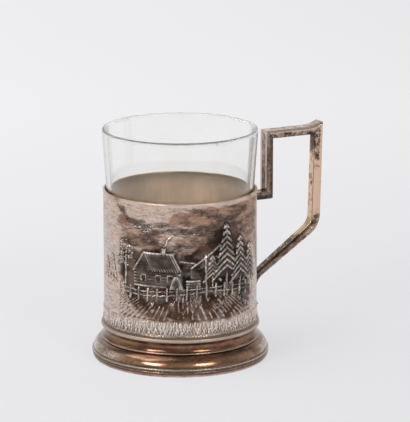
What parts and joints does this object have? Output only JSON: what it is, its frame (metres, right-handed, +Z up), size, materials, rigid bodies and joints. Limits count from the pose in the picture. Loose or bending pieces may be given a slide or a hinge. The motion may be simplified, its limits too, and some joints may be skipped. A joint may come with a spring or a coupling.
{
  "type": "tea glass in a holder",
  "caption": "Clear tapered tea glass standing in a cylindrical silver holder with a moulded foot, a chased relief on its wall and an angular strap handle.",
  "frame": {"origin": "under the middle of the object's box, on the surface it stands on", "axes": "+Z up along the cup's axis, +X from the cup's axis towards the handle, +Y across the handle"},
  "size_m": [0.1164, 0.0836, 0.109],
  "materials": {
    "clear_glass": "clear pressed glass",
    "silver_wall": "chased silver, tarnished warm grey",
    "silver_wire": "drawn silver wire, rubbed bright",
    "silver_foot": "polished silver, toned bronze brown",
    "silver_handle": "polished silver, toned copper brown"
  },
  "bodies": {
    "holder": {"holder_wall": "silver_wall", "rim_wire": "silver_wire", "base_bead": "silver_wire", "floor_disc": "silver_wall", "foot_shell": "silver_foot", "milled_wire": "silver_wire", "foot_base_ring": "silver_foot", "handle_upper_arm": "silver_handle", "handle_inner_post": "silver_handle", "handle_top_bar": "silver_handle", "handle_grip_bar": "silver_handle"},
    "glass": {"tea_glass": "clear_glass"}
  },
  "joints": [
    {"name": "glass_lift", "type": "slide", "parent": "holder", "child": "glass", "axis": [0, 0, 1], "range_m": [0, 0.095]}
  ]
}
